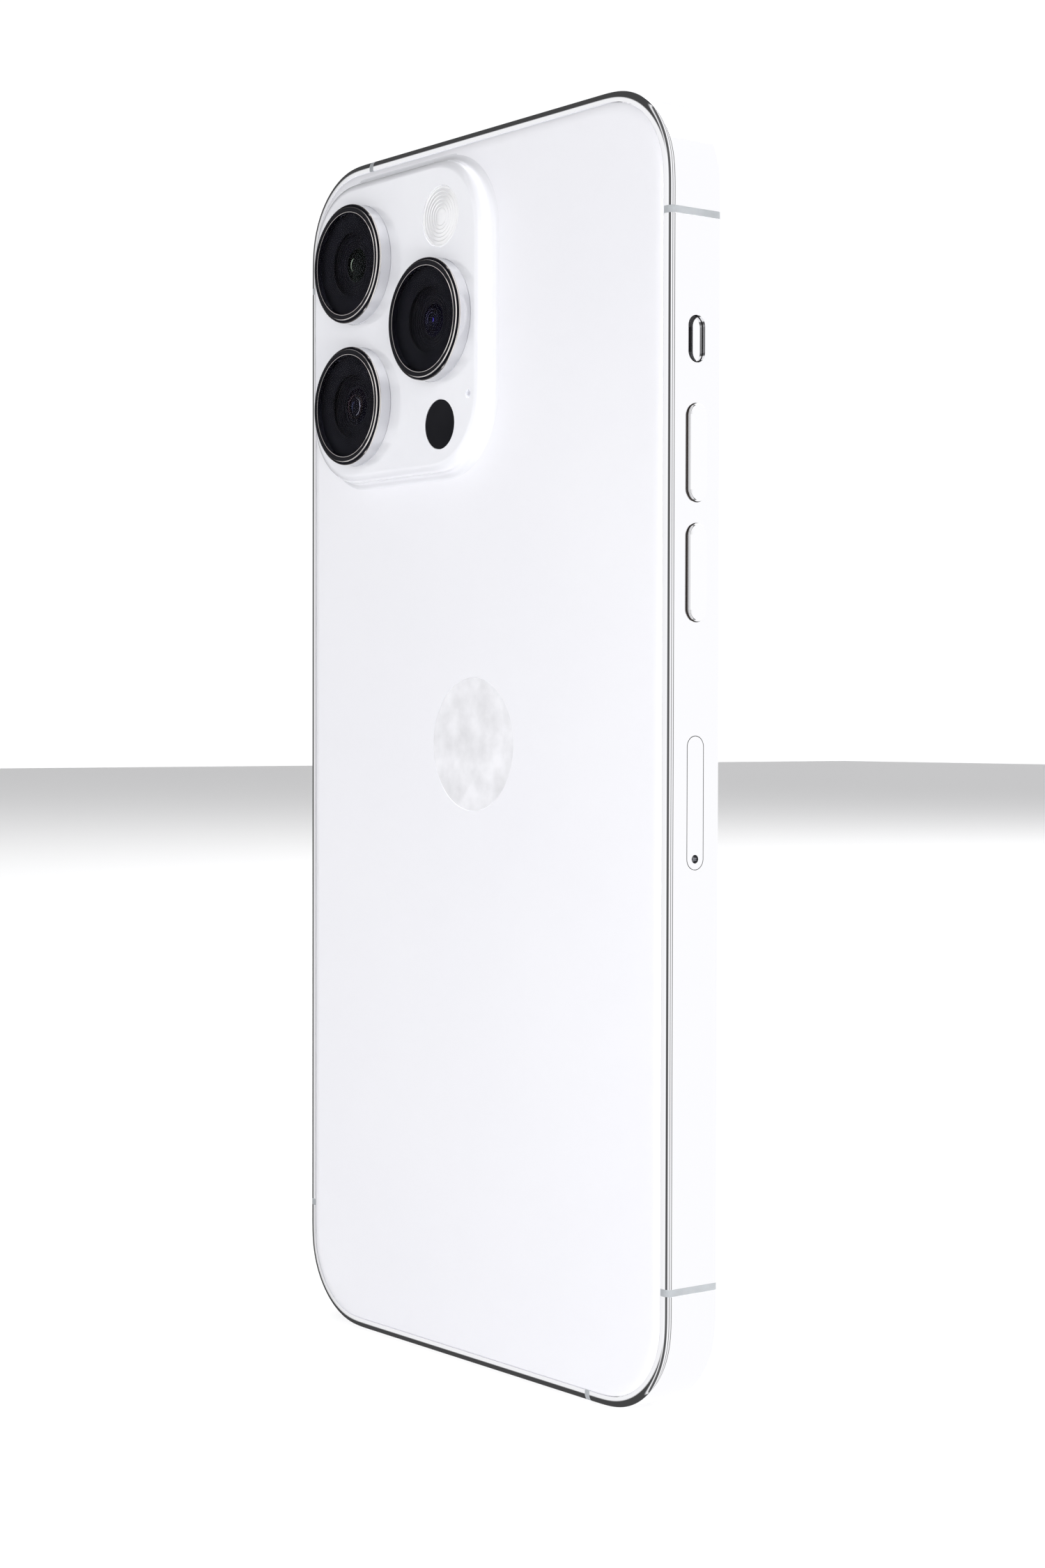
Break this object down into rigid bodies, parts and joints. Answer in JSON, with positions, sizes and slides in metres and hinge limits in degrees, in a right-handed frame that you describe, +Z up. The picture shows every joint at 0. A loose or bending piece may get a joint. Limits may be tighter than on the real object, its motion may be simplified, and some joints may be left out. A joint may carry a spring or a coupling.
{
  "type": "smartphone",
  "caption": "Smartphone with a polished steel band, white glass back, raised camera plateau, side buttons, mute switch and card tray.",
  "frame": {"origin": "centre of the bottom edge at mid-thickness, on the flat of the band", "axes": "+Z up the phone from the bottom edge, +Y out of the back (the screen faces -Y), +X to the side button"},
  "size_m": [0.0724, 0.012, 0.1475],
  "materials": {
    "polished_steel": "mirror polished",
    "strip_plastic": "satin",
    "front_glass": "gloss black",
    "display": "dark laminate",
    "plain_steel": "rolled sheet",
    "sheet_aluminium": "sheet",
    "adhesive": "foam tape",
    "rear_glass": "white, satin back with a clear plateau",
    "badge": "polished inlay",
    "copper": "lacquered winding",
    "magnet": "nickel plated",
    "ring_metal": "polished dark bevel",
    "crystal": "coated clear cover",
    "module_can": "stamped can",
    "barrel_black": "ribbed black",
    "flash_plastic": "moulded lens",
    "led_board": "phosphor on board",
    "scanner_black": "black window",
    "gold_contact": "gold plated",
    "seal_rubber": "moulded seal",
    "cell_wrap": "black wrapped pouch cell",
    "board_green": "solder mask",
    "chip_black": "moulded",
    "ribbon": "polyimide",
    "port_plastic": "moulded with contacts",
    "speaker_box": "moulded",
    "mesh": "woven mesh",
    "tungsten": "sintered block"
  },
  "bodies": {
    "phone": {"frame": "polished_steel", "antenna_breaks": "strip_plastic", "front_glass": "front_glass", "display_panel": "display", "display_shield": "sheet_aluminium", "display_gasket": "adhesive", "rear_glass": "rear_glass", "rear_gasket": "adhesive", "rear_badge": "badge", "mid_plate": "sheet_aluminium", "charging_coil": "copper", "magnet_ring": "magnet", "tele_ring": "ring_metal", "main_ring": "ring_metal", "wide_ring": "ring_metal", "tele_cover": "crystal", "main_cover": "crystal", "wide_cover": "crystal", "tele_housing": "module_can", "main_housing": "module_can", "wide_housing": "module_can", "camera_bracket": "plain_steel", "flash_lens": "flash_plastic", "flash_led": "led_board", "scanner_window": "scanner_black", "scanner_module": "chip_black", "rear_mic": "gold_contact", "volume_switches": "gold_contact", "side_switch": "gold_contact", "mute_base": "chip_black", "sim_reader": "plain_steel", "battery": "cell_wrap", "logic_board": "board_green", "board_chips": "chip_black", "board_shield": "plain_steel", "board_screws": "plain_steel", "flex_cables": "ribbon", "port_shell": "plain_steel", "port_tongue": "port_plastic", "bottom_screws": "polished_steel", "loudspeaker": "speaker_box", "speaker_mesh": "mesh", "bottom_mic": "gold_contact", "haptic_housing": "plain_steel", "earpiece": "speaker_box", "front_camera": "chip_black", "face_sensor": "chip_black"},
    "volume_up": {"volume_up": "polished_steel"},
    "volume_down": {"volume_down": "polished_steel"},
    "side_button": {"side_button": "polished_steel"},
    "mute_thumb": {"mute_thumb": "polished_steel"},
    "tray": {"sim_tray": "polished_steel", "tray_seal": "seal_rubber", "sim_card": "gold_contact"},
    "tele_focus": {"tele_barrel": "barrel_black"},
    "main_focus": {"main_barrel": "barrel_black"},
    "wide_focus": {"wide_barrel": "barrel_black"},
    "haptic_mass": {"haptic_mass": "tungsten"},
    "eject_rod": {"eject_rod": "plain_steel"},
    "eject_lever": {"eject_lever": "plain_steel"}
  },
  "joints": [
    {"name": "volume_up_press", "type": "slide", "parent": "phone", "child": "volume_up", "axis": [1, 0, 0], "range_m": [0, 0.0003], "stiffness_N_per_m": 1500},
    {"name": "volume_down_press", "type": "slide", "parent": "phone", "child": "volume_down", "axis": [1, 0, 0], "range_m": [0, 0.0003], "stiffness_N_per_m": 1500},
    {"name": "side_button_press", "type": "slide", "parent": "phone", "child": "side_button", "axis": [-1, 0, 0], "range_m": [0, 0.0003], "stiffness_N_per_m": 1500},
    {"name": "mute_slide", "type": "slide", "parent": "phone", "child": "mute_thumb", "axis": [0, 1, 0], "range_m": [0, 0.00095]},
    {"name": "tray_slide", "type": "slide", "parent": "phone", "child": "tray", "axis": [-1, 0, 0], "range_m": [0, 0.022]},
    {"name": "tele_focus_slide", "type": "slide", "parent": "phone", "child": "tele_focus", "axis": [0, 1, 0], "range_m": [0, 0.0003], "stiffness_N_per_m": 400},
    {"name": "main_focus_slide", "type": "slide", "parent": "phone", "child": "main_focus", "axis": [0, 1, 0], "range_m": [0, 0.0003], "stiffness_N_per_m": 400},
    {"name": "wide_focus_slide", "type": "slide", "parent": "phone", "child": "wide_focus", "axis": [0, 1, 0], "range_m": [0, 0.0003], "stiffness_N_per_m": 400},
    {"name": "haptic_slide", "type": "slide", "parent": "phone", "child": "haptic_mass", "axis": [1, 0, 0], "range_m": [-0.0004, 0.0004], "stiffness_N_per_m": 3000},
    {"name": "eject_rod_push", "type": "slide", "parent": "phone", "child": "eject_rod", "axis": [1, 0, 0], "range_m": [0, 0.001]},
    {"name": "eject_lever_turn", "type": "hinge", "parent": "phone", "child": "eject_lever", "pos_m": [-0.0127, 0, 0.06611], "axis": [0, -1, 0], "range_deg": [0, 14.6]}
  ],
  "couplings": [
    {"joint": "eject_lever_turn", "follows": "eject_rod_push", "rad_per_m": 250}
  ]
}
